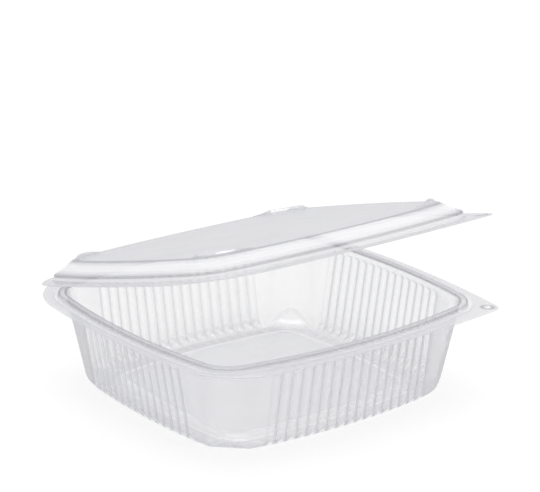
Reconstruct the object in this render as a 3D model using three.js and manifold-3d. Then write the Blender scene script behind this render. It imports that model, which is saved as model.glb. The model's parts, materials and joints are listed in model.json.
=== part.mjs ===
// A clear deli container, drawn down from one plastic sheet: a fluted tray, a low
// domed lid, and the fold that joins them along the back. The lid stands half open.
// Millimetres, +Z up. The origin is the middle of the underside, and +Y is the hinge side.
import * as THREE from 'three';
import { mergeVertices } from 'three/addons/utils/BufferGeometryUtils.js';
import Module from 'manifold-3d';

const wasm = await Module();
wasm.setup();

// The sheet
const sheetThickness = 0.6;

// The tray's rim: a rounded rectangle whose sides bow outwards
const trayHeight = 50;
const rimHalfX = 85;
const rimHalfY = 81;
const sideBowX = 390;
const sideBowY = 325;
const rimCorner = 16.5;

// The raised bead round the rim, and the flat flange outside it
const beadWidth = 4.4;
const beadHeight = 1.8;
const beadRound = 0.8;
const flangeHalfX = 96.5;
const flangeHalfY = 93.2;
const flangeBowX = 510;
const flangeBowFront = 630;
const hingeSideBow = 50000;
const flangeTop = trayHeight - beadHeight;
const hingeCorner = 40;
const tabCorner = 3;
const nearCorner = 44;

// The walls, the foot and the floor
const wallLean = 0.161;
const footRadius = 6;
const footHalfX = 72;
const lowerCorner = 21;
const floorPanel = { halfX: 61.5, halfY: 56.8, corner: 11, rise: 2.5 };
const floorSlope = 3.4;
const sideDifference = rimHalfX - rimHalfY;

// The flutes, which stop short of the corners
const flutePitch = 6.05;
const fluteDepth = 1.1;
const flutesAcrossX = 17;
const flutesAcrossY = 15;
const fluteTop = trayHeight - 6.5;
const fluteFade = 3;
const crestStart = 0.3;
const crestEnd = 0.7;
const cornerColumns = 5;

// The flat that leans across each lower corner
const cornerFlatTop = 10;
const cornerFlatDepth = 4.8;

// The lid, measured shut
const lidGap = 0.4;
const lidClearance = 0.9;
const lidEdgeHeight = 3.6;
const lidEdgeRound = 1.2;
const lidPanelHeight = 9.4;
const lidPanelInset = 4.5;
const lidPanelCorner = 19;
const lidOpenAngle = THREE.MathUtils.degToRad(15.6);
const lidColumnsPerSide = 18;
const lidSideShare = 1 / 6;

// The stacking ridges on the lid's four corners
const ridgeWidth = 3.6;
const ridgeHeight = 1.9;
const ridgeSetIn = 3.4;
const ridgeHalfAngle = THREE.MathUtils.degToRad(40);
const ridgeRadius = 17;
const ridgeBevel = 0.5;

// The fold between tray and lid, drawn as a fine round bead on the hinge line
const foldRadius = 0.6;
const foldGap = 0.3;
const foldLength = 100;
const hingeY = flangeHalfY + foldGap + foldRadius;
const hingeZ = flangeTop + lidGap / 2;

// The small oval pip pressed up in each thumb tab
const pipLength = 5.2;
const pipWidth = 2.6;
const pipHeight = 0.9;
const pipSetIn = 7.5;
const pipSegments = 16;

// A rounded rectangle with bowed sides. Bows are listed right, back, left, front, and
// corners right-back, left-back, left-front, right-front.
function outline(halfX, halfY, corners, bows) {
  return { halfX, halfY, corners, bows };
}

function evenOutline(halfX, halfY, corner) {
  return outline(halfX, halfY, [corner, corner, corner, corner], [sideBowX, sideBowY, sideBowX, sideBowY]);
}

// The same outline moved outwards by a distance, as a parallel line is.
function grown(shape, distance) {
  const corners = shape.corners.map((radius) => Math.max(radius + distance, 0.5));
  const bows = shape.bows.map((radius) => radius + distance);
  return outline(shape.halfX + distance, shape.halfY + distance, corners, bows);
}

// The corner arc of one quadrant, worked out as if it were the first one: it touches
// both bowed sides from inside, so its centre is where two circles meet.
function cornerArc(shape, quadrant) {
  const radius = shape.corners[quadrant];
  const bowX = shape.bows[quadrant === 0 || quadrant === 3 ? 0 : 2];
  const bowY = shape.bows[quadrant < 2 ? 1 : 3];
  const sideCentre = new THREE.Vector2(shape.halfX - bowX, 0);
  const endCentre = new THREE.Vector2(0, shape.halfY - bowY);
  const reachX = bowX - radius;
  const reachY = bowY - radius;
  const between = endCentre.clone().sub(sideCentre);
  const distance = between.length();
  const along = (distance * distance + reachX * reachX - reachY * reachY) / (2 * distance);
  const across = Math.sqrt(reachX * reachX - along * along);
  const unit = between.divideScalar(distance);
  const centre = new THREE.Vector2(
    sideCentre.x + unit.x * along - unit.y * across,
    sideCentre.y + unit.y * along + unit.x * across,
  );
  if (centre.x < 0 || centre.y < 0) {
    centre.x += 2 * unit.y * across;
    centre.y -= 2 * unit.x * across;
  }
  const lowAngle = Math.atan2(centre.y, centre.x - sideCentre.x);
  const highAngle = Math.atan2(centre.y - endCentre.y, centre.x);
  return { centre, radius, bowX, bowY, lowAngle, highAngle };
}

// The point of an outline whose outward normal has the given angle.
function pointAt(shape, angle) {
  const turn = (angle + 4 * Math.PI) % (2 * Math.PI);
  const quadrant = Math.floor(turn / (Math.PI / 2)) % 4;
  const first = [turn, Math.PI - turn, turn - Math.PI, 2 * Math.PI - turn][quadrant];
  const arc = cornerArc(shape, quadrant);
  const c = Math.cos(first);
  const s = Math.sin(first);
  let x = arc.centre.x + arc.radius * c;
  let y = arc.centre.y + arc.radius * s;
  if (first < arc.lowAngle) {
    x = shape.halfX - arc.bowX + arc.bowX * c;
    y = arc.bowX * s;
  } else if (first > arc.highAngle) {
    x = arc.bowY * c;
    y = shape.halfY - arc.bowY + arc.bowY * s;
  }
  const signX = quadrant === 1 || quadrant === 2 ? -1 : 1;
  const signY = quadrant > 1 ? -1 : 1;
  return { x: x * signX, y: y * signY, normalX: Math.cos(turn), normalY: Math.sin(turn) };
}

// The normal's angle where a line square to a side, at a given distance along it, meets
// the outline. Sides are right, back, left and front, and run anticlockwise.
function angleAlong(shape, side, along) {
  const distance = Math.abs(along);
  const quadrant = along >= 0 ? side : (side + 3) % 4;
  const arc = cornerArc(shape, quadrant);
  const upright = side % 2 === 0;
  const bow = upright ? arc.bowX : arc.bowY;
  const centre = upright ? arc.centre.y : arc.centre.x;
  const lean = upright ? arc.lowAngle : Math.PI / 2 - arc.highAngle;
  let angle = Math.asin(distance / bow);
  if (angle > lean) {
    angle = Math.asin(Math.min((distance - centre) / arc.radius, 1));
  }
  return side * Math.PI / 2 + Math.sign(along) * angle;
}

// The columns of points that go round the tray: three to a flute along each side, at
// its groove and at both shoulders of its crest, and a few round each corner.
function flutedColumns() {
  const columns = [];
  for (let side = 0; side < 4; side++) {
    const count = side % 2 === 0 ? flutesAcrossY : flutesAcrossX;
    const end = count * flutePitch / 2;
    for (let flute = 0; flute < count; flute++) {
      const start = flute * flutePitch - end;
      columns.push({ side, along: start, crest: 0 });
      columns.push({ side, along: start + crestStart * flutePitch, crest: 1 });
      columns.push({ side, along: start + crestEnd * flutePitch, crest: 1 });
    }
    columns.push({ side, along: end, crest: 0 });
    const nextCount = side % 2 === 0 ? flutesAcrossX : flutesAcrossY;
    for (let step = 1; step <= cornerColumns; step++) {
      const share = step / (cornerColumns + 1);
      columns.push({ side, end, nextStart: -nextCount * flutePitch / 2, share, crest: 0 });
    }
  }
  return columns;
}

// Plain columns for the lid, evenly turned round each quadrant's corner and side.
function plainColumns() {
  const columns = [];
  for (let side = 0; side < 4; side++) {
    for (let step = 0; step < lidColumnsPerSide; step++) {
      const share = step / lidColumnsPerSide;
      columns.push({ share, side });
    }
  }
  return columns;
}

function flutedAngle(shape, column) {
  if (column.share === undefined) {
    return angleAlong(shape, column.side, column.along);
  }
  const from = angleAlong(shape, column.side, column.end);
  const to = angleAlong(shape, (column.side + 1) % 4, column.nextStart);
  const sweep = (to - from + 2 * Math.PI) % (2 * Math.PI);
  return from + sweep * column.share;
}

// Even steps in angle would crowd into the corners, so the flat sides get a third of
// the columns and the corner arc the rest.
function plainAngle(shape, column) {
  const arc = cornerArc(shape, column.side);
  const flat = lidSideShare;
  const start = column.side * Math.PI / 2;
  const swapped = column.side % 2 === 1;
  const low = swapped ? Math.PI / 2 - arc.highAngle : arc.lowAngle;
  const high = swapped ? Math.PI / 2 - arc.lowAngle : arc.highAngle;
  if (column.share < flat) {
    return start + low * column.share / flat;
  }
  if (column.share > 1 - flat) {
    return start + high + (Math.PI / 2 - high) * (column.share - 1 + flat) / flat;
  }
  return start + low + (high - low) * (column.share - flat) / (1 - 2 * flat);
}

// A ring of the sheet: where it lies, and how far the flutes stand out there.
function ring(shape, z, flute = 0) {
  return { shape, z, flute };
}

// The sheet's other face: each ring moved square to the profile by the thickness.
function otherFace(rings) {
  return rings.map((item, index) => {
    const before = rings[Math.max(index - 1, 0)];
    const after = rings[Math.min(index + 1, rings.length - 1)];
    const into = new THREE.Vector2(item.shape.halfX - before.shape.halfX, item.z - before.z);
    const out = new THREE.Vector2(after.shape.halfX - item.shape.halfX, after.z - item.z);
    if (into.length() === 0) {
      into.copy(out);
    }
    if (out.length() === 0) {
      out.copy(into);
    }
    const normal = new THREE.Vector2(into.y, -into.x).normalize();
    const nextNormal = new THREE.Vector2(out.y, -out.x).normalize();
    const mitre = normal.clone().add(nextNormal);
    mitre.multiplyScalar(2 * sheetThickness / mitre.lengthSq());
    const shape = item.shape.halfX === 0 ? item.shape : grown(item.shape, mitre.x);
    return ring(shape, item.z + mitre.y, item.flute);
  });
}

// The leaning flat takes the corner's round off, deeper towards the foot.
function pressCornerFlat(point, shape, z) {
  const depth = cornerFlatDepth * (1 - z / cornerFlatTop);
  if (depth <= 0 || shape.halfX < footHalfX) {
    return;
  }
  const apex = pointAt(shape, Math.PI / 4);
  const limit = (apex.x + apex.y) * Math.SQRT1_2 - depth;
  const reach = (Math.abs(point.x) + Math.abs(point.y)) * Math.SQRT1_2;
  if (reach > limit) {
    point.x -= Math.sign(point.x) * (reach - limit) * Math.SQRT1_2;
    point.y -= Math.sign(point.y) * (reach - limit) * Math.SQRT1_2;
  }
}

// A closed sheet: a lathe turns the profile, and each turned point is then taken to its
// place on its ring's outline.
function bentLathe(rings, columns, angleOf) {
  const profile = rings.map((item) => new THREE.Vector2(item.shape.halfX, item.z));
  const geometry = new THREE.LatheGeometry(profile, columns.length);
  const position = geometry.attributes.position;
  for (let index = 0; index < position.count; index++) {
    const column = columns[Math.floor(index / rings.length) % columns.length];
    const item = rings[index % rings.length];
    if (item.shape.halfX === 0) {
      position.setXYZ(index, 0, 0, item.z);
      continue;
    }
    const point = pointAt(item.shape, angleOf(item.shape, column));
    point.x += point.normalX * item.flute * (column.crest ?? 0);
    point.y += point.normalY * item.flute * (column.crest ?? 0);
    pressCornerFlat(point, item.shape, item.z);
    position.setXYZ(index, point.x, point.y, item.z);
  }
  return geometry;
}

// A geometry as a solid, with its shared points merged and its empty triangles left out.
function toSolid(geometry) {
  const bare = geometry.clone();
  bare.deleteAttribute('normal');
  bare.deleteAttribute('uv');
  const merged = mergeVertices(bare, 1e-5);
  const corners = merged.index.array;
  const kept = [];
  for (let i = 0; i < corners.length; i += 3) {
    const [a, b, c] = [corners[i], corners[i + 1], corners[i + 2]];
    if (a !== b && b !== c && c !== a) {
      kept.push(a, b, c);
    }
  }
  const vertProperties = new Float32Array(merged.attributes.position.array);
  const triVerts = new Uint32Array(kept);
  return new wasm.Manifold(new wasm.Mesh({ numProp: 3, vertProperties, triVerts }));
}

function toGeometry(solid) {
  const mesh = solid.getMesh();
  const geometry = new THREE.BufferGeometry();
  geometry.setAttribute('position', new THREE.BufferAttribute(new Float32Array(mesh.vertProperties), 3));
  geometry.setIndex(new THREE.BufferAttribute(new Uint32Array(mesh.triVerts), 1));
  geometry.computeVertexNormals();
  return geometry;
}

// Both parts share the flange: straight along the hinge, a pointed thumb tab at the
// right front, and drawn in close round the left front corner.
function flangeOutline() {
  return outline(
    flangeHalfX,
    flangeHalfY,
    [hingeCorner, hingeCorner, nearCorner, tabCorner],
    [flangeBowX, hingeSideBow, flangeBowX, flangeBowFront],
  );
}

function centreRing(z) {
  return ring(outline(0, 0, [0, 0, 0, 0], [1, 1, 1, 1]), z);
}

// The underside is turned first, outwards from the axis, and the top face comes back.
function closedSheet(rings) {
  return [...otherFace(rings), ...rings.slice().reverse()];
}

// The inside face of the tray, from the middle of the floor out to the flange's edge.
function trayRings() {
  const floor = sheetThickness;
  const slopeHalfX = floorPanel.halfX + floorSlope;
  const slopeHalfY = floorPanel.halfY + floorSlope;
  const footCentre = floor + footRadius;
  const lean = Math.atan(wallLean);
  const rings = [
    centreRing(floor + floorPanel.rise),
    ring(evenOutline(floorPanel.halfX, floorPanel.halfY, floorPanel.corner), floor + floorPanel.rise),
    ring(evenOutline(slopeHalfX, slopeHalfY, floorPanel.corner + floorSlope), floor),
  ];
  for (const angle of [-Math.PI / 2, -Math.PI / 4, -lean]) {
    const halfX = footHalfX + footRadius * Math.cos(angle);
    const z = footCentre + footRadius * Math.sin(angle);
    const flute = angle === -lean ? fluteDepth : 0;
    rings.push(ring(evenOutline(halfX, halfX - sideDifference, lowerCorner), z, flute));
  }
  const wallStart = rings[rings.length - 1];
  const wallRise = trayHeight - beadRound - wallStart.z;
  for (const [z, flute] of [[cornerFlatTop, fluteDepth], [fluteTop, fluteDepth], [fluteTop + fluteFade, 0]]) {
    const share = (z - wallStart.z) / wallRise;
    const halfX = THREE.MathUtils.lerp(wallStart.shape.halfX, rimHalfX, share);
    const corner = THREE.MathUtils.lerp(lowerCorner, rimCorner, share);
    rings.push(ring(evenOutline(halfX, halfX - sideDifference, corner), z, flute));
  }
  const rim = evenOutline(rimHalfX, rimHalfY, rimCorner);
  rings.push(ring(rim, trayHeight - beadRound / 2));
  rings.push(ring(grown(rim, beadWidth - beadRound), trayHeight));
  rings.push(ring(grown(rim, beadWidth), flangeTop));
  rings.push(ring(flangeOutline(), flangeTop));
  return rings;
}

// The top face of the lid, from its middle out to the flange's edge.
function lidRings() {
  const plane = flangeTop + lidGap + sheetThickness;
  const channel = grown(evenOutline(rimHalfX, rimHalfY, rimCorner), beadWidth + lidClearance);
  const panelX = rimHalfX - lidPanelInset;
  const panelY = rimHalfY - lidPanelInset;
  return [
    centreRing(plane + lidPanelHeight),
    ring(evenOutline(panelX, panelY, lidPanelCorner), plane + lidPanelHeight),
    ring(grown(channel, -lidEdgeRound), plane + lidEdgeHeight),
    ring(channel, plane + lidEdgeHeight - lidEdgeRound / 2),
    ring(grown(channel, lidClearance), plane),
    ring(flangeOutline(), plane),
  ];
}

// A low oval dome on the thumb tab, with its middle at the given height.
function tabDome(z) {
  const tip = pointAt(flangeOutline(), -Math.PI / 4);
  const dome = new THREE.SphereGeometry(1, pipSegments, pipSegments / 2);
  dome.scale(pipLength / 2, pipWidth / 2, pipHeight);
  dome.rotateZ(-Math.PI / 4);
  const setIn = pipSetIn * Math.SQRT1_2;
  dome.translate(tip.x - setIn, tip.y + setIn, z);
  return toSolid(dome);
}

// The pip is pressed: a dome on the flange's top face and the same hollow in its underside.
function pressPip(solid, top) {
  return solid.add(tabDome(top)).subtract(tabDome(top - sheetThickness));
}

// A stacking ridge that follows the turn of one corner of the lid's panel.
function stackingRidge(signX, signY) {
  const inner = ridgeRadius - ridgeWidth / 2;
  const outer = ridgeRadius + ridgeWidth / 2;
  const plan = new THREE.Shape();
  plan.absarc(0, 0, outer, -ridgeHalfAngle, ridgeHalfAngle, false);
  plan.absarc(0, 0, inner, ridgeHalfAngle, -ridgeHalfAngle, true);
  const ridge = new THREE.ExtrudeGeometry(plan, {
    depth: ridgeHeight + sheetThickness / 2 - ridgeBevel,
    bevelEnabled: true,
    bevelSize: ridgeBevel,
    bevelOffset: -ridgeBevel,
    bevelThickness: ridgeBevel,
    bevelSegments: 1,
    curveSegments: 5,
  });
  const panel = evenOutline(rimHalfX - lidPanelInset, rimHalfY - lidPanelInset, lidPanelCorner);
  const apex = pointAt(panel, Math.PI / 4);
  const reach = (ridgeRadius + ridgeSetIn) * Math.SQRT1_2;
  ridge.rotateZ(Math.atan2(signY, signX));
  const top = flangeTop + lidGap + sheetThickness + lidPanelHeight;
  ridge.translate(signX * (apex.x - reach), signY * (apex.y - reach), top - sheetThickness / 2);
  return toSolid(ridge);
}

function clearPlastic() {
  return new THREE.MeshStandardMaterial({ color: 0xdfe2e4, roughness: 0.12, metalness: 0 });
}

function buildTray() {
  const sheet = toSolid(bentLathe(closedSheet(trayRings()), flutedColumns(), flutedAngle));
  const solid = pressPip(sheet, flangeTop);
  const mesh = new THREE.Mesh(toGeometry(solid), clearPlastic());
  mesh.name = 'tray';
  return mesh;
}

function buildLid() {
  let solid = toSolid(bentLathe(closedSheet(lidRings()), plainColumns(), plainAngle));
  for (const [signX, signY] of [[1, 1], [-1, 1], [-1, -1], [1, -1]]) {
    solid = solid.add(stackingRidge(signX, signY));
  }
  solid = pressPip(solid, flangeTop + lidGap + sheetThickness);
  const geometry = toGeometry(solid);
  geometry.translate(0, -hingeY, -hingeZ);
  const mesh = new THREE.Mesh(geometry, clearPlastic());
  mesh.name = 'lid';
  mesh.position.set(0, hingeY, hingeZ);
  mesh.rotation.x = -lidOpenAngle;
  return mesh;
}

function buildFold() {
  const bead = new THREE.CylinderGeometry(foldRadius, foldRadius, foldLength, 16);
  bead.rotateZ(Math.PI / 2);
  const mesh = new THREE.Mesh(bead, clearPlastic());
  mesh.name = 'hinge_fold';
  mesh.position.set(0, hingeY, hingeZ);
  return mesh;
}

const container = new THREE.Group();
container.add(buildTray());
container.add(buildLid());
container.add(buildFold());

export default container;
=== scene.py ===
import json
import math

import bmesh
import bpy
from mathutils import Matrix, Vector
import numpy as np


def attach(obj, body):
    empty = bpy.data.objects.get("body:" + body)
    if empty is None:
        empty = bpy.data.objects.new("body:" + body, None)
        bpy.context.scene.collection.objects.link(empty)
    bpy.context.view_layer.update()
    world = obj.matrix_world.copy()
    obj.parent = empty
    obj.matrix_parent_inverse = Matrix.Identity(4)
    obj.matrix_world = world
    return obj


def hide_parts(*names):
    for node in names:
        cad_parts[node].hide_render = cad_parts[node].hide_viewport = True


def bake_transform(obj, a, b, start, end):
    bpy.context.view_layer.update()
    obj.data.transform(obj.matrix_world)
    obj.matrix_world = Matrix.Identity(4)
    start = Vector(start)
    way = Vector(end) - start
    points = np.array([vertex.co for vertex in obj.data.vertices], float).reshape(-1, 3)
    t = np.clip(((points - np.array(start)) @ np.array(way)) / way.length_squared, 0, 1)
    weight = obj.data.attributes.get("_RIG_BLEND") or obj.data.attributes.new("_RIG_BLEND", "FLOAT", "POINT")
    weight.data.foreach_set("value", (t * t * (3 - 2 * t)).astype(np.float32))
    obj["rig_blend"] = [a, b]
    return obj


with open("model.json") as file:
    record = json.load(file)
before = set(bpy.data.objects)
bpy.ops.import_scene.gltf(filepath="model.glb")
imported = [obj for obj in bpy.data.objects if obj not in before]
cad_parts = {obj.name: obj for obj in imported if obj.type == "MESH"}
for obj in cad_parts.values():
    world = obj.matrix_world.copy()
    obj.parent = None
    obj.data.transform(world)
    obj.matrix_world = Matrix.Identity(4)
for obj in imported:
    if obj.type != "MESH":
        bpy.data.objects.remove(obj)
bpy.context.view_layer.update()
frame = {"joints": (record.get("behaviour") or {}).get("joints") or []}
mm = 0.001

# The lid's joint gives the hinge line and how far the lid stands open.
lidJoint = frame["joints"][0]
hingePoint = Vector(lidJoint["pos_m"]) / mm
openAngle = math.radians(-lidJoint["range_deg"][0])

# Sizes below are in millimetres, as the frame was drawn.
sheetSize = {
    "thickness": 0.42,
    "filmThickness": 0.25,
}

rimSize = {
    "height": 50.0,
    "halfX": 85.0,
    "halfY": 81.0,
    "corner": 16.5,
    "bowX": 390.0,
    "bowY": 325.0,
    "beadWidth": 4.4,
    "beadRound": 0.9,
    "beadInnerShade": 0.44,
    "beadOuterShade": 0.36,
    "beadEase": 0.05,
    "beadInnerFall": 0.25,
    "beadOuterFall": 0.3,
    "crown": 0.12,
    "crownShares": (0.27, 0.5, 0.73),
    "grooveDepth": 3.1,
    "grooveWidth": 2.6,
    "grooveRound": 0.7,
    "grooveSetOut": 0.95,
    "grooveGlint": 0.7,
}

flangeSize = {
    "top": 48.2,
    "halfX": 96.5,
    "halfY": 93.2,
    "bowX": 510.0,
    "bowFront": 630.0,
    "bowHinge": 50000.0,
    "hingeCorner": 40.0,
    "nearCorner": 44.0,
    "tabCorner": 6.5,
    "edgeWidth": 0.5,
    "edgeDrop": 0.25,
    "rings": 12,
}

leastCorner = 0.5  # an outline drawn in keeps corners of this radius
leastRun = 0.1  # a straight run keeps this much of a corner's turn where its arc comes early


# Outlines: a rounded rectangle whose sides bow outwards. Bows go right, back, left,
# front, and corners right-back, left-back, left-front, right-front.
def makeOutline(halfX, halfY, corners, bows):
    return {"halfX": halfX, "halfY": halfY, "corners": corners, "bows": bows}


def evenOutline(halfX, halfY, corner):
    bows = (rimSize["bowX"], rimSize["bowY"], rimSize["bowX"], rimSize["bowY"])
    return makeOutline(halfX, halfY, (corner,) * 4, bows)


def grown(shape, distance):
    corners = tuple(max(radius + distance, leastCorner) for radius in shape["corners"])
    bows = tuple(radius + distance for radius in shape["bows"])
    return makeOutline(shape["halfX"] + distance, shape["halfY"] + distance, corners, bows)


def between(first, second, share):
    def mix(a, b):
        return a + (b - a) * share

    return makeOutline(
        mix(first["halfX"], second["halfX"]),
        mix(first["halfY"], second["halfY"]),
        tuple(mix(a, b) for a, b in zip(first["corners"], second["corners"])),
        tuple(1 / mix(1 / a, 1 / b) for a, b in zip(first["bows"], second["bows"])),
    )


def cornerArc(shape, quadrant):
    # Worked out as if in the first quadrant: the arc touches both bowed sides.
    radius = shape["corners"][quadrant]
    bowX = shape["bows"][0 if quadrant in (0, 3) else 2]
    bowY = shape["bows"][1 if quadrant < 2 else 3]
    sideCentre = Vector((shape["halfX"] - bowX, 0))
    endCentre = Vector((0, shape["halfY"] - bowY))
    apart = endCentre - sideCentre
    distance = apart.length
    reachX, reachY = bowX - radius, bowY - radius
    along = (distance ** 2 + reachX ** 2 - reachY ** 2) / (2 * distance)
    across = math.sqrt(max(reachX ** 2 - along ** 2, 0))
    unit = apart / distance
    centre = sideCentre + unit * along + Vector((-unit.y, unit.x)) * across
    if centre.x < 0 or centre.y < 0:
        centre = sideCentre + unit * along - Vector((-unit.y, unit.x)) * across
    low = math.atan2(centre.y, centre.x - sideCentre.x)
    high = math.atan2(centre.y - endCentre.y, centre.x)
    return {"centre": centre, "radius": radius, "bowX": bowX, "bowY": bowY, "low": low, "high": high}


arcMemory = {}


def knownArc(shape, quadrant):
    key = (id(shape), quadrant)
    if key not in arcMemory:
        arcMemory[key] = (shape, cornerArc(shape, quadrant))  # the shape is kept so its id stays its own
    return arcMemory[key][1]


def outlinePoint(shape, angle):
    turn = angle % (2 * math.pi)
    quadrant = int(turn // (math.pi / 2)) % 4
    first = (turn, math.pi - turn, turn - math.pi, 2 * math.pi - turn)[quadrant]
    arc = knownArc(shape, quadrant)
    c, s = math.cos(first), math.sin(first)
    if first < arc["low"]:
        x = shape["halfX"] - arc["bowX"] + arc["bowX"] * c
        y = arc["bowX"] * s
    elif first > arc["high"]:
        x = arc["bowY"] * c
        y = shape["halfY"] - arc["bowY"] + arc["bowY"] * s
    else:
        x = arc["centre"].x + arc["radius"] * c
        y = arc["centre"].y + arc["radius"] * s
    signX = -1 if quadrant in (1, 2) else 1
    signY = -1 if quadrant > 1 else 1
    return Vector((x * signX, y * signY)), Vector((math.cos(turn), math.sin(turn)))


def sideLean(shape, side, quadrant):
    # How far round from the side's own direction the corner arc of a quadrant starts.
    arc = knownArc(shape, quadrant)
    return arc["low"] if side % 2 == 0 else math.pi / 2 - arc["high"]


def angleAlong(shape, side, along):
    distance = abs(along)
    quadrant = side if along >= 0 else (side + 3) % 4
    arc = knownArc(shape, quadrant)
    upright = side % 2 == 0
    bow = arc["bowX"] if upright else arc["bowY"]
    centre = arc["centre"].y if upright else arc["centre"].x
    angle = math.asin(distance / bow)
    if angle > sideLean(shape, side, quadrant):
        angle = math.asin(min(max((distance - centre) / arc["radius"], 0), 1))
    return side * math.pi / 2 + math.copysign(angle, along)


# Columns go round a part. Those of a side stand at a fixed distance along it, and those
# of a corner share out its straight run and its arc on every ring alike.
def makeColumns(counts, pitch, steps, runSteps, arcCount):
    columns = []
    for side in range(4):
        end = counts[side] * pitch / 2
        nextEnd = counts[(side + 1) % 4] * pitch / 2
        for index in range(counts[side]):
            for step in steps:
                column = {"side": side, "along": (index + step) * pitch - end}
                if index or step:
                    column["share"] = step
                columns.append(column)
        corner = {"side": side, "ends": (end, nextEnd)}
        for kind, count in (("first", runSteps), ("arc", arcCount), ("last", runSteps)):
            for step in range(count):
                columns.append({**corner, kind: step / count})
    return columns


def columnAngle(shape, column):
    side = column["side"]
    if "along" in column:
        return angleAlong(shape, side, column["along"])
    quarter = math.pi / 2
    nextSide = (side + 1) % 4
    start = angleAlong(shape, side, column["ends"][0])
    finish = side * quarter + quarter + angleAlong(shape, nextSide, -column["ends"][1]) - nextSide * quarter
    least = (finish - start) * leastRun
    low = max(side * quarter + sideLean(shape, side, side), start + least)
    high = min(side * quarter + quarter - sideLean(shape, nextSide, side), finish - least)
    if "first" in column:
        return start + (low - start) * column["first"]
    if "last" in column:
        return high + (finish - high) * column["last"]
    return low + (high - low) * column["arc"]


# A ring's fold is the painted shade laid along it, from 0 to 1, mostly where the sheet
# is bent, and its glint the painted highlight laid on it.
def addRing(rings, shape, z, flute=0.0, tag="", fold=0.0, glint=0.0):
    rings.append({"shape": shape, "z": z, "flute": flute, "tag": tag, "fold": fold, "glint": glint})


# How far a flute bulges at a column, from 0 in the valley to 1 on its crown.
def fluteWave(column):
    if "share" not in column:
        return 0.0
    return math.sin(math.pi * column["share"]) ** traySize["crownCurve"]


# Painted shade down the flute valleys, stronger near the foot.
def valleyShade(item, column):
    if "share" not in column:
        return 0.0
    depth = traySize["valleyShadeLow"] if item["z"] < traySize["fluteFull"] else traySize["valleyShade"]
    return depth * item["flute"] * (1 - fluteWave(column))


def kneeGlint(item, column):
    # A painted highlight on the crown of each flute's rounded foot.
    if "share" not in column or item["tag"] != "wall":
        return 0.0
    reach = abs(item["z"] - traySize["kneeHeight"]) / traySize["kneeReach"]
    return traySize["kneeGlint"] * max(1 - reach, 0.0) * fluteWave(column) ** 2


# A profile of rings is turned into a sheet with spin, and each point is then taken to
# its place on its own ring's outline.
def spinSheet(rings, columns, placePoint):
    bm = bmesh.new()
    ringOf = bm.verts.layers.int.new("ring")
    foldOf = bm.verts.layers.float.new("fold")
    glintOf = bm.verts.layers.float.new("glint")
    last = None
    for index, item in enumerate(rings):
        point = bm.verts.new((item["shape"]["halfX"], 0, item["z"]))
        point[ringOf] = index
        if last:
            bm.edges.new((last, point))
        last = point
    bmesh.ops.spin(
        bm, geom=bm.verts[:] + bm.edges[:], cent=(0, 0, 0), axis=(0, 0, 1), dvec=(0, 0, 0),
        angle=2 * math.pi, steps=len(columns), use_merge=True, use_duplicate=False,
    )
    stepAngle = 2 * math.pi / len(columns)
    for point in bm.verts:
        column = columns[round(math.atan2(point.co.y, point.co.x) / stepAngle) % len(columns)]
        item = rings[point[ringOf]]
        place, outward = outlinePoint(item["shape"], columnAngle(item["shape"], column))
        point.co = placePoint(item, column, place, outward)
        # each point keeps its painted shade (fold) and painted highlight (glint) for the material
        point[foldOf] = min(item["fold"] + valleyShade(item, column), 1.0)
        point[glintOf] = min(item["glint"] + kneeGlint(item, column) + archGlint(place, item), 1.0)
    inner = [edge for edge in bm.edges if all(point[ringOf] == 0 for point in edge.verts)]
    bmesh.ops.edgeloop_fill(bm, edges=inner)
    bmesh.ops.recalc_face_normals(bm, faces=bm.faces[:])
    middle = max(bm.faces, key=lambda face: len(face.verts))
    if middle.normal.z < 0:
        bmesh.ops.reverse_faces(bm, faces=bm.faces[:])
    return bm


# An arc of the profile as (outward, up) steps from its start.
def arcSteps(radius, fromAngle, toAngle, count):
    steps = []
    for index in range(count + 1):
        angle = math.radians(fromAngle + (toAngle - fromAngle) * index / count)
        steps.append((radius * math.cos(angle), radius * math.sin(angle)))
    return steps


def flangeOutline():
    size = flangeSize
    corners = (size["hingeCorner"], size["hingeCorner"], size["nearCorner"], size["tabCorner"])
    bows = (size["bowX"], size["bowHinge"], size["bowX"], size["bowFront"])
    return makeOutline(size["halfX"], size["halfY"], corners, bows)


def addFlange(rings, inner, z):
    # The flat flange, and the small turned-down edge that the trim knife leaves.
    outer = flangeOutline()
    flat = grown(outer, -flangeSize["edgeWidth"])
    for step in range(1, flangeSize["rings"] + 1):
        addRing(rings, between(inner, flat, step / flangeSize["rings"]), z, tag="flange")
    addRing(rings, outer, z - flangeSize["edgeDrop"], tag="flange")


def smoothStep(value):
    value = min(max(value, 0.0), 1.0)
    return value * value * (3 - 2 * value)


# The pip pressed up in a thumb tab: finer faces there, then an oval dome with painted shade round its rim.
pipSize = {
    "length": 5.2,
    "width": 4.4,
    "height": 0.7,
    "setIn": 5.6,
    "reach": 5.0,
    "level": 0.5,
    "cuts": 2,
    "spread": 1.25,
    "rimAt": 1.2,
    "rimWidth": 0.5,
    "fold": 0.7,
}


def pressPip(bm, z):
    tip = outlinePoint(flangeOutline(), -math.pi / 4)[0]
    inward = Vector((-1, 1)).normalized()
    across = Vector((1, 1)).normalized()
    centre = tip + inward * pipSize["setIn"]

    def isNear(point):
        return (point.co.xy - centre).length < pipSize["reach"] and abs(point.co.z - z) < pipSize["level"]

    near = [edge for edge in bm.edges if all(isNear(point) for point in edge.verts)]
    bmesh.ops.subdivide_edges(bm, edges=near, cuts=pipSize["cuts"], use_grid_fill=True)
    foldOf = bm.verts.layers.float["fold"]
    for point in bm.verts:
        if isNear(point):
            offset = point.co.xy - centre
            u = offset.dot(inward) / (pipSize["length"] / 2)
            v = offset.dot(across) / (pipSize["width"] / 2)
            away = math.hypot(u, v)
            point.co.z += pipSize["height"] * smoothStep(pipSize["spread"] - away)
            # painted shade in a ring round the pip's edge
            point[foldOf] += pipSize["fold"] * max(1 - abs(away - pipSize["rimAt"]) / pipSize["rimWidth"], 0)


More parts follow.
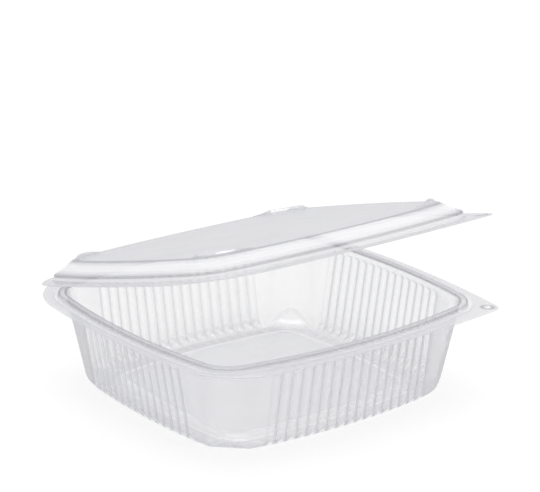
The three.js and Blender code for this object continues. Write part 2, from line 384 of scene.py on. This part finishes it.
# The tray
traySize = {
    "wallLean": 0.161,
    "footHalfX": 72.0,
    "footRadius": 6.0,
    "lowerCorner": 21.0,
    "panelX": 61.5,
    "panelY": 56.8,
    "panelCorner": 11.0,
    "panelRise": 2.5,
    "panelSlope": 3.4,
    "panelRound": 0.9,
    "panelRoundShare": 0.4,
    # the second number of each ring is its painted highlight
    "panelRings": ((4.5, 0.0), (3.4, 0.0), (2.2, 0.35), (1.4, 0.45)),  # inset and glint of each
    "panelGlint": 0.4,
    "floorRing": 3.0,
    "cornerRuns": 3,
    "cornerArc": 24,
    "flutePitch": 6.05,
    "fluteDepth": 1.15,
    "flutesAcrossX": 17,
    "flutesAcrossY": 15,
    "fluteStart": 0.9,
    "fluteFull": 4.2,
    "fluteTop": 43.0,
    "fluteEnd": 46.4,
    "crownCurve": 1.2,
    "wallHeights": (7.0, 8.0, 9.0, 9.8, 10.6, 11.6, 15.0, 20.0, 26.0, 32.0, 38.0),
    "tipHeights": (43.9, 44.7, 45.4, 45.9),
    "plainHeight": 47.4,
    "valleyShade": 0.125,
    "valleyShadeLow": 0.26,
    "lowShade": 0.03,
    "lowShadeTop": 24.0,
    "kneeHeight": 2.8,
    "kneeReach": 2.7,
    "kneeGlint": 1.0,
    "archHeight": 8.2,
    "archWidth": 27.0,
    "archDepth": 2.9,
    "archSoft": 2.2,
    "archGlint": 0.25,
    "archLine": 1.6,
}
fluteSteps = (0.0, 0.07, 0.19, 0.34, 0.5, 0.66, 0.81, 0.93)


def fluteAmount(z):
    # A flute starts and ends in a rounded tip.
    size = traySize
    if z < size["fluteFull"]:
        share = min(max((z - size["fluteStart"]) / (size["fluteFull"] - size["fluteStart"]), 0), 1)
    else:
        share = min(max((size["fluteEnd"] - z) / (size["fluteEnd"] - size["fluteTop"]), 0), 1)
    return math.sqrt(share * (2 - share))


def trayProfile():
    size = traySize
    floor = sheetSize["thickness"]
    difference = rimSize["halfX"] - rimSize["halfY"]
    rings = []
    panelTop = floor + size["panelRise"]
    panel = evenOutline(size["panelX"], size["panelY"], size["panelCorner"])
    for inset, bright in size["panelRings"]:
        addRing(rings, grown(panel, -inset), panelTop, glint=bright)
    slope = math.degrees(math.atan2(size["panelRise"], size["panelSlope"]))
    rounding = size["panelRound"]
    past = rounding * size["panelRoundShare"]
    # painted highlight along the panel's top rounding
    for outward, up in arcSteps(rounding, 90, 90 - slope, 3):
        addRing(rings, grown(panel, outward - past), panelTop - rounding + up, glint=size["panelGlint"])
    for outward, up in arcSteps(rounding, 270 - slope, 270, 3):
        addRing(rings, grown(panel, size["panelSlope"] + outward + past), floor + rounding + up)
    lean = math.degrees(math.atan(size["wallLean"]))
    footCentre = floor + size["footRadius"]
    floorRing = (-size["floorRing"], -size["footRadius"])
    # the foot carries painted shade
    for outward, up in [floorRing] + arcSteps(size["footRadius"], -90, -lean, 8):
        halfX = size["footHalfX"] + outward
        z = footCentre + up
        shape = evenOutline(halfX, halfX - difference, size["lowerCorner"])
        addRing(rings, shape, z, fluteAmount(z), "wall", fold=size["lowShade"])
    wallStart = rings[-1]
    wallTop = rimSize["height"] - rimSize["beadRound"]
    heights = [*size["wallHeights"], size["fluteTop"], *size["tipHeights"]]
    heights += [size["fluteEnd"], size["plainHeight"]]
    rim = evenOutline(rimSize["halfX"], rimSize["halfY"], rimSize["corner"])
    for z in heights:
        share = (z - wallStart["z"]) / (wallTop - wallStart["z"])
        # painted shade, darker towards the bottom of the wall
        low = size["lowShade"] * max(1 - z / size["lowShadeTop"], 0)
        addRing(rings, between(wallStart["shape"], rim, share), z, fluteAmount(z), "wall", fold=low)
    # the rolled bead, and the groove outside it
    top = rimSize["height"]
    bead = rimSize["beadRound"]
    width = rimSize["beadWidth"]
    addRing(rings, grown(rim, -rimSize["beadEase"]), top - bead - rimSize["beadInnerFall"])
    # painted shade along the bead's inner and outer rounding
    for outward, up in arcSteps(bead, 180, 90, 3):
        addRing(rings, grown(rim, bead + outward), top - bead + up, fold=rimSize["beadInnerShade"])
    for share in rimSize["crownShares"]:
        addRing(rings, grown(rim, width * share), top + rimSize["crown"])
    for outward, up in arcSteps(bead, 90, 0, 3):
        addRing(rings, grown(rim, width - bead + outward), top - bead + up, fold=rimSize["beadOuterShade"])
    addRing(rings, grown(rim, width + rimSize["beadEase"]), top - bead - rimSize["beadOuterFall"])
    foot = top - rimSize["grooveDepth"]
    bend = rimSize["grooveRound"]
    # painted highlight in the groove outside the bead
    for outward, up in arcSteps(bend, 180, 300, 4):
        shape = grown(rim, width + rimSize["grooveSetOut"] + outward)
        addRing(rings, shape, foot + bend + up, glint=rimSize["grooveGlint"])
    inner = grown(rim, width + rimSize["grooveWidth"])
    addRing(rings, inner, flangeSize["top"], tag="flange")
    addFlange(rings, inner, flangeSize["top"])
    return rings


def cornerDiagonal(place):
    return Vector((math.copysign(1, place.x), math.copysign(1, place.y))).normalized()


def archTop(place, shape):
    # Height of the bell-shaped flat across a lower corner, above a point of the outline.
    diagonal = cornerDiagonal(place)
    offset = place - outlinePoint(shape, math.atan2(diagonal.y, diagonal.x))[0]
    sideways = abs(offset.x * diagonal.y - offset.y * diagonal.x)
    return traySize["archHeight"] * (1 - smoothStep(2 * sideways / traySize["archWidth"]))


def archPress(place, shape, z):
    # Below that height the wall leans in.
    size = traySize
    share = smoothStep((archTop(place, shape) - z) / size["archSoft"])
    diagonal = cornerDiagonal(place)
    apex = outlinePoint(shape, math.atan2(diagonal.y, diagonal.x))[0].dot(diagonal)
    limit = apex - size["archDepth"] * (1 - z / size["archHeight"])
    return place - diagonal * max(place.dot(diagonal) - limit, 0) * share


def archGlint(place, item):
    # A painted highlight along the top edge of the bell-shaped flat.
    top = archTop(place, item["shape"]) if item["tag"] == "wall" else 0.0
    if top == 0.0:
        return 0.0
    return traySize["archGlint"] * max(1 - abs(item["z"] - top) / traySize["archLine"], 0.0)


def placeTray(item, column, place, outward):
    place = place + outward * traySize["fluteDepth"] * item["flute"] * fluteWave(column)
    if item["tag"] == "wall" and item["z"] < traySize["archHeight"]:
        place = archPress(place, item["shape"], item["z"])
    return Vector((place.x, place.y, item["z"]))


def finishPiece(bm, name, thickness):
    mesh = bpy.data.meshes.new(name)
    bmesh.ops.scale(bm, vec=(mm, mm, mm), verts=bm.verts[:])
    for face in bm.faces:
        face.smooth = True
    bm.to_mesh(mesh)
    bm.free()
    piece = bpy.data.objects.new(name, mesh)
    bpy.context.scene.collection.objects.link(piece)
    wall = piece.modifiers.new("wall", "SOLIDIFY")
    wall.thickness = thickness * mm
    wall.offset = -1
    return piece


def buildTray():
    size = traySize
    counts = (size["flutesAcrossY"], size["flutesAcrossX"]) * 2
    columns = makeColumns(counts, size["flutePitch"], fluteSteps, size["cornerRuns"], size["cornerArc"])
    bm = spinSheet(trayProfile(), columns, placeTray)
    pressPip(bm, flangeSize["top"])
    print("tray: columns", len(columns), "faces", len(bm.faces))
    return finishPiece(bm, "tray_sheet", sheetSize["thickness"])


# The lid, drawn shut and then turned open
lidSize = {
    "gap": 0.4,
    "clearance": 0.9,
    "edgeHeight": 3.6,
    "edgeRound": 1.2,
    "panelHeight": 9.4,
    "panelInset": 4.5,
    "panelCorner": 19.0,
    "panelRound": 1.6,
    "panelRoundShare": 0.3,
    "panelReach": 9.6,
    "panelStep": 0.62,
    "panelShade": 0.45,
    "panelLevel": 0.01,
    # the second number of each shoulder ring is its painted highlight
    "shoulderRings": ((0.07, 0.0), (0.35, 0.5), (0.65, 0.5), (0.93, 0.0)),  # share and glint of each
    "edgeLean": 8,
    "edgeShade": 0.45,
    "skirtRings": ((0.15, 1.9), (0.35, 1.5), (0.45, 1.0)),  # distance out and height of each
    "skirtGlint": 0.45,
    "footRound": 0.6,
    "footSetOut": 1.1,
    "footShade": 0.1,
    "flangeSetOut": 2.0,
    "ridgeRadius": 17.0,
    "ridgeSetIn": 3.4,
    "ridgeAngle": 40.0,
    "ridgeWidth": 3.8,
    "ridgeHeight": 1.9,
    "ridgeFlat": 1.35,
    "sideColumns": 24,
    "columnPitch": 4.2,
    "cornerRuns": 4,
    "cornerArc": 36,
}


def lidPanel():
    inset = lidSize["panelInset"]
    return evenOutline(rimSize["halfX"] - inset, rimSize["halfY"] - inset, lidSize["panelCorner"])


def lidProfile():
    size = lidSize
    plane = flangeSize["top"] + size["gap"] + sheetSize["thickness"]
    top = plane + size["panelHeight"]
    rim = evenOutline(rimSize["halfX"], rimSize["halfY"], rimSize["corner"])
    channel = grown(rim, rimSize["beadWidth"] + size["clearance"])
    panel = lidPanel()
    rings = []
    inset = size["panelReach"]
    while inset > size["panelRound"]:
        addRing(rings, grown(panel, -inset), top)
        inset -= size["panelStep"]
    edge = grown(channel, -size["edgeRound"])
    fall = size["panelHeight"] - size["edgeHeight"]
    slope = math.degrees(math.atan2(fall, edge["halfX"] - panel["halfX"]))
    rounding = size["panelRound"]
    # painted shade along the rounding at the panel's edge
    for outward, up in arcSteps(rounding, 90, 90 - slope, 4):
        shape = grown(panel, outward - rounding * size["panelRoundShare"])
        addRing(rings, shape, top - rounding + up, fold=size["panelShade"])
    last = rings[-1]
    # painted highlight on the shoulder
    for share, bright in size["shoulderRings"]:
        z = last["z"] + (plane + size["edgeHeight"] - last["z"]) * share
        addRing(rings, between(last["shape"], edge, share), z, glint=bright)
    # painted shade along the rounding of the lid's outer edge
    for outward, up in arcSteps(size["edgeRound"], 90 - slope, size["edgeLean"], 4):
        z = plane + size["edgeHeight"] - size["edgeRound"] + up
        addRing(rings, grown(edge, outward), z, fold=size["edgeShade"])
    # the skirt, with the step that snaps over the tray's bead; a painted highlight on it and painted shade
    # at its foot
    for outward, z in size["skirtRings"]:
        addRing(rings, grown(channel, outward), plane + z, glint=size["skirtGlint"])
    bend = size["footRound"]
    for outward, up in arcSteps(bend, 180 + size["edgeLean"], 270, 3):
        shape = grown(channel, size["footSetOut"] + outward)
        addRing(rings, shape, plane + bend + up, fold=size["footShade"])
    inner = grown(channel, size["flangeSetOut"])
    addRing(rings, inner, plane, tag="flange")
    addFlange(rings, inner, plane)
    return rings


def ridgeLift(place):
    # Height of a stacking ridge over a point of the panel: a bead along a short arc.
    size = lidSize
    first = Vector((abs(place.x), abs(place.y)))
    diagonal = Vector((1, 1)).normalized()
    apex = outlinePoint(lidPanel(), math.pi / 4)[0]
    centre = apex - diagonal * (size["ridgeRadius"] + size["ridgeSetIn"])
    offset = first - centre
    angle = math.atan2(offset.y, offset.x) - math.pi / 4
    limit = math.radians(size["ridgeAngle"])
    nearest = min(max(angle, -limit), limit) + math.pi / 4
    onArc = centre + Vector((math.cos(nearest), math.sin(nearest))) * size["ridgeRadius"]
    away = (first - onArc).length / (size["ridgeWidth"] / 2)
    return size["ridgeHeight"] * smoothStep((1 - away) * size["ridgeFlat"])


def placeLid(item, column, place, outward):
    return Vector((place.x, place.y, item["z"]))


def openLid(bm):
    turn = (
        Matrix.Translation(hingePoint)
        @ Matrix.Rotation(-openAngle, 4, "X")
        @ Matrix.Translation(-hingePoint)
    )
    bmesh.ops.transform(bm, matrix=turn, verts=bm.verts[:])


def buildLid():
    size = lidSize
    counts = (size["sideColumns"],) * 4
    columns = makeColumns(counts, size["columnPitch"], (0.0,), size["cornerRuns"], size["cornerArc"])
    bm = spinSheet(lidProfile(), columns, placeLid)
    top = max(point.co.z for point in bm.verts)
    for point in bm.verts:
        if point.co.z > top - size["panelLevel"]:
            point.co.z += ridgeLift(point.co.xy)
    pressPip(bm, flangeSize["top"] + lidSize["gap"] + sheetSize["thickness"])
    openLid(bm)
    print("lid: columns", len(columns), "faces", len(bm.faces))
    return finishPiece(bm, "lid_sheet", sheetSize["thickness"])


# The creased film along the back, from the tray's flange round to the lid's. It stays with
# the tray below the hinge line, moves with the lid above it, and bends in between.
filmSize = {
    "length": 100.0,
    "lap": 0.5,
    "curveSteps": 10,
    "pieces": 28,
    "stillBelow": 0.3,
    "stillAbove": 0.35,
}


def edgesOf(items):
    return [item for item in items if isinstance(item, bmesh.types.BMEdge)]


def buildFilm():
    bm = bmesh.new()
    size = filmSize
    low = flangeSize["top"] - sheetSize["thickness"] / 2
    start = Vector((-size["length"] / 2, flangeSize["halfY"] - size["lap"], low))
    path = [start]
    tilt = Matrix.Rotation(-openAngle, 4, "X")
    for outward, up in arcSteps(hingePoint.z - low, -90, 90 - math.degrees(openAngle), size["curveSteps"]):
        path.append(Vector((start.x, hingePoint.y + outward, hingePoint.z + up)))
    lidEnd = Vector((start.x, start.y, flangeSize["top"] + lidSize["gap"] + sheetSize["thickness"] / 2))
    path.append(hingePoint + tilt @ (lidEnd - hingePoint))
    points = [bm.verts.new(place) for place in path]
    edges = [bm.edges.new(pair) for pair in zip(points, points[1:])]
    geom = points + edges
    for index in range(size["pieces"]):
        made = bmesh.ops.extrude_edge_only(bm, edges=edgesOf(geom))["geom"]
        moved = [item for item in made if isinstance(item, bmesh.types.BMVert)]
        bmesh.ops.translate(bm, vec=(size["length"] / size["pieces"], 0, 0), verts=moved)
        ends = set(moved)
        geom = moved + [edge for edge in edgesOf(made) if set(edge.verts) <= ends]
    bmesh.ops.recalc_face_normals(bm, faces=bm.faces[:])
    print("fold film: faces", len(bm.faces))
    return finishPiece(bm, "fold_film", sheetSize["filmThickness"])


# Materials
def linear(hexColour):
    channels = [int(hexColour[index:index + 2], 16) / 255 for index in (0, 2, 4)]
    return [c / 12.92 if c <= 0.04045 else ((c + 0.055) / 1.055) ** 2.4 for c in channels] + [1.0]


def addNode(tree, kind, settings={}, links={}):
    node = tree.nodes.new("ShaderNode" + kind)
    for name, value in settings.items():
        if isinstance(name, int) or name in node.inputs:
            node.inputs[name].default_value = value
        else:
            setattr(node, name, value)
    for name, source in links.items():
        tree.links.new(source, node.inputs[name])
    return node


def newMaterial(name):
    material = bpy.data.materials.new(name)
    material.use_nodes = True
    tree = material.node_tree
    tree.nodes.clear()
    return material, tree, addNode(tree, "OutputMaterial")


# Clear polyester (PET) sheet, drawn hot into a mould. It is a little milky: light that
# goes through it scatters, the more so the flatter it is seen. Its gloss ripples where
# the sheet stretched, and it is darkest where the eye looks along it.
# Folds carry painted shade and glints a painted highlight, both read from point attributes.
sheetLook = {
    "haze": "E5E5E8",
    "hazeStraight": 0.15,
    "hazeGrazing": 0.6,
    "hazeCurve": 2.0,
    "edgeColour": "78787E",
    "paintedShadeHaze": "B4B4B9",
    "edgeCurve": 5.0,
    "glintHaze": 0.7,
    "foldShade": 0.5,
    "mirror": 0.045,
    "mirrorGrazing": 0.25,
    "mirrorCurve": 5.0,
    "roughness": 0.13,
    "rippleSize": 14.0,
    "rippleBump": 0.08,
    "rippleDepth": 0.5,
    "grainSize": 0.9,
    "grainBump": 0.04,
    "grainDepth": 0.05,
    "cloudSize": 22.0,
    "cloudLow": 0.3,
    "cloudHigh": 0.7,
    "cloudSpread": 0.015,
    "passedOn": 0.5,
}


def drawnPolyester(name, look):
    material, tree, output = newMaterial(name)
    place = addNode(tree, "TexCoord").outputs["Object"]
    facing = addNode(tree, "LayerWeight", {"Blend": 0.5}).outputs["Facing"]
    # gloss: a few parts in a hundred face on, much more towards the horizon
    power = addNode(tree, "Math", {"operation": "POWER", 1: look["mirrorCurve"]}, {0: facing})
    mirror = addNode(
        tree, "Math", {"operation": "MULTIPLY_ADD", 1: look["mirrorGrazing"], 2: look["mirror"]},
        {0: power.outputs[0]},
    )
    # the long way through the sheet at edges takes light away, painted shade darkens it along folds, and
    # painted highlights lift the edge darkening
    edge = addNode(tree, "Math", {"operation": "POWER", 1: look["edgeCurve"]}, {0: facing})
    fold = addNode(tree, "Attribute", {"attribute_name": "fold"}).outputs["Fac"]
    glint = addNode(tree, "Attribute", {"attribute_name": "glint"}).outputs["Fac"]
    dull = addNode(tree, "Math", {"operation": "SUBTRACT", 0: 1.0}, {1: glint})
    dullEdge = addNode(tree, "Math", {"operation": "MULTIPLY"}, {0: edge.outputs[0], 1: dull.outputs[0]})
    shade = addNode(
        tree, "Math", {"operation": "MULTIPLY_ADD", 1: look["foldShade"], "use_clamp": True},
        {0: fold, 2: dullEdge.outputs[0]},
    )
    tint = addNode(
        tree, "Mix", {"data_type": "RGBA", 6: linear("FFFFFF"), 7: linear(look["edgeColour"])},
        {0: shade.outputs[0]},
    )
    through = addNode(tree, "BsdfTransparent", {}, {"Color": tint.outputs[2]})
    # milkiness, a little uneven where the sheet drew thin
    cloud = addNode(
        tree, "TexNoise", {"Scale": 1 / (look["cloudSize"] * mm), "Detail": 3.0}, {"Vector": place},
    )
    base = addNode(
        tree, "MapRange",
        {
            "From Min": look["cloudLow"],
            "From Max": look["cloudHigh"],
            "To Min": look["hazeStraight"] - look["cloudSpread"],
            "To Max": look["hazeStraight"] + look["cloudSpread"],
        },
        {"Value": cloud.outputs["Fac"]},
    )
    flat = addNode(tree, "Math", {"operation": "POWER", 1: look["hazeCurve"]}, {0: facing})
    slanted = addNode(
        tree, "Math", {"operation": "MULTIPLY_ADD", 1: look["hazeGrazing"]},
        {0: flat.outputs[0], 2: base.outputs["Result"]},
    )
    # painted highlights turn more of the sheet milky
    hazeShare = addNode(
        tree, "Math", {"operation": "MULTIPLY_ADD", 1: look["glintHaze"], "use_clamp": True},
        {0: glint, 2: slanted.outputs[0]},
    )
    # the milky colour is darkened by painted shade along folds and turned white by painted highlights
    milk = addNode(
        tree, "Mix", {"data_type": "RGBA", 6: linear(look["haze"]), 7: linear(look["paintedShadeHaze"])},
        {0: fold},
    )
    lit = addNode(
        tree, "Mix", {"data_type": "RGBA", 7: linear("FFFFFF")}, {0: glint, 6: milk.outputs[2]},
    )
    diffuse = addNode(tree, "BsdfDiffuse", {}, {"Color": lit.outputs[2]})
    scattered = addNode(tree, "BsdfTranslucent", {}, {"Color": lit.outputs[2]})
    haze = addNode(
        tree, "MixShader", {0: look["passedOn"]}, {1: diffuse.outputs[0], 2: scattered.outputs[0]},
    )
    body = addNode(
        tree, "MixShader", {}, {0: hazeShare.outputs[0], 1: through.outputs[0], 2: haze.outputs[0]},
    )
    ripple = addNode(
        tree, "TexNoise", {"Scale": 1 / (look["rippleSize"] * mm), "Detail": 2.0}, {"Vector": place},
    )
    grain = addNode(
        tree, "TexNoise", {"Scale": 1 / (look["grainSize"] * mm), "Detail": 1.0}, {"Vector": place},
    )
    rippleBump = addNode(
        tree, "Bump", {"Strength": look["rippleBump"], "Distance": look["rippleDepth"] * mm},
        {"Height": ripple.outputs["Fac"]},
    )
    bump = addNode(
        tree, "Bump", {"Strength": look["grainBump"], "Distance": look["grainDepth"] * mm},
        {"Height": grain.outputs["Fac"], "Normal": rippleBump.outputs["Normal"]},
    )
    gloss = addNode(
        tree, "BsdfGlossy", {"Color": linear("FFFFFF"), "Roughness": look["roughness"]},
        {"Normal": bump.outputs["Normal"]},
    )
    surface = addNode(
        tree, "MixShader", {}, {0: mirror.outputs[0], 1: body.outputs[0], 2: gloss.outputs[0]},
    )
    tree.links.new(surface.outputs[0], output.inputs["Surface"])
    return material


# Floor: a white light table, bright enough to go out nearly white, with its sizes in metres
floorLook = {"halfSize": 6.0, "drop": 0.0002, "colour": "FFFFFF", "glow": 0.77, "diffuse": 0.2}


def buildFloor():
    bm = bmesh.new()
    bmesh.ops.create_grid(bm, x_segments=1, y_segments=1, size=floorLook["halfSize"])
    mesh = bpy.data.meshes.new("floor")
    bm.to_mesh(mesh)
    bm.free()
    floor = bpy.data.objects.new("floor", mesh)
    bpy.context.scene.collection.objects.link(floor)
    floor.location.z = -floorLook["drop"]
    material, tree, output = newMaterial("light table")
    glow = addNode(tree, "Emission", {"Color": linear(floorLook["colour"]), "Strength": floorLook["glow"]})
    top = addNode(tree, "BsdfDiffuse", {"Color": [floorLook["diffuse"]] * 3 + [1.0]})
    both = addNode(tree, "AddShader", {}, {0: glow.outputs[0], 1: top.outputs[0]})
    tree.links.new(both.outputs[0], output.inputs["Surface"])
    mesh.materials.append(material)


# The studio is bright above and behind the container, and dim where the camera stands.
studio = {
    "bright": (0.5, 0.62, 0.6),
    "worldDim": 0.8,
    "worldBright": 0.93,
    "keyFrom": (0.05, 0.1, 1.0),
    "keySpread": 45.0,
    "keyStrength": 1.4,
}


def buildStudio():
    world = bpy.data.worlds.new("studio")
    bpy.context.scene.world = world
    world.use_nodes = True
    tree = world.node_tree
    tree.nodes.clear()
    output = addNode(tree, "OutputWorld")
    direction = addNode(tree, "TexCoord").outputs["Generated"]
    brightest = Vector(studio["bright"]).normalized()
    towards = addNode(tree, "VectorMath", {"operation": "DOT_PRODUCT", 1: brightest}, {0: direction})
    level = addNode(
        tree, "MapRange",
        {"From Min": -1.0, "From Max": 1.0, "To Min": studio["worldDim"], "To Max": studio["worldBright"]},
        {"Value": towards.outputs["Value"]},
    )
    sky = addNode(tree, "Background", {"Color": (1, 1, 1, 1)}, {"Strength": level.outputs["Result"]})
    tree.links.new(sky.outputs[0], output.inputs["Surface"])
    light = bpy.data.lights.new("key softbox", "SUN")
    light.angle = math.radians(studio["keySpread"])
    light.energy = studio["keyStrength"]
    lamp = bpy.data.objects.new("key softbox", light)
    bpy.context.scene.collection.objects.link(lamp)
    lamp.rotation_euler = Vector(studio["keyFrom"]).to_track_quat("Z", "Y").to_euler()


view = {
    "place": (-650.30, -854.07, 430.44),
    "azimuth": -37.514,
    "elevation": 18.235,
    "lens": 145.64,
    "sensor": 36,
    "nearest": 0.01,
    "furthest": 50,
}


def buildCamera():
    camera = bpy.data.objects.new("camera", bpy.data.cameras.new("camera"))
    bpy.context.scene.collection.objects.link(camera)
    a, e = math.radians(view["azimuth"]), math.radians(view["elevation"])
    back = Vector((math.sin(a) * math.cos(e), -math.cos(a) * math.cos(e), math.sin(e)))
    camera.location = Vector(view["place"]) * mm
    camera.rotation_euler = (-back).to_track_quat("-Z", "Y").to_euler()
    camera.data.sensor_width = view["sensor"]
    camera.data.lens = view["lens"]
    camera.data.clip_start = view["nearest"]
    camera.data.clip_end = view["furthest"]
    bpy.context.scene.camera = camera


buildCamera()
buildFloor()
buildStudio()
print("studio ready")

traySheet = buildTray()
traySheet.data.materials.append(drawnPolyester("drawn clear polyester, tray", sheetLook))
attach(traySheet, "tray")
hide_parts("tray")

lidSheet = buildLid()
lidSheet.data.materials.append(drawnPolyester("drawn clear polyester, lid", sheetLook))
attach(lidSheet, "lid")
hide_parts("lid")

foldFilm = buildFilm()
foldFilm.data.materials.append(drawnPolyester("creased clear polyester film", sheetLook))
blendStart = (0, hingePoint.y * mm, (hingePoint.z - filmSize["stillBelow"]) * mm)
blendEnd = (0, hingePoint.y * mm, (hingePoint.z + filmSize["stillAbove"]) * mm)
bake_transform(foldFilm, "tray", "lid", start=blendStart, end=blendEnd)
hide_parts("hinge_fold")
print("pieces ready")

scene = bpy.context.scene
scene.view_settings.view_transform = "Standard"
scene.cycles.transparent_max_bounces = 32
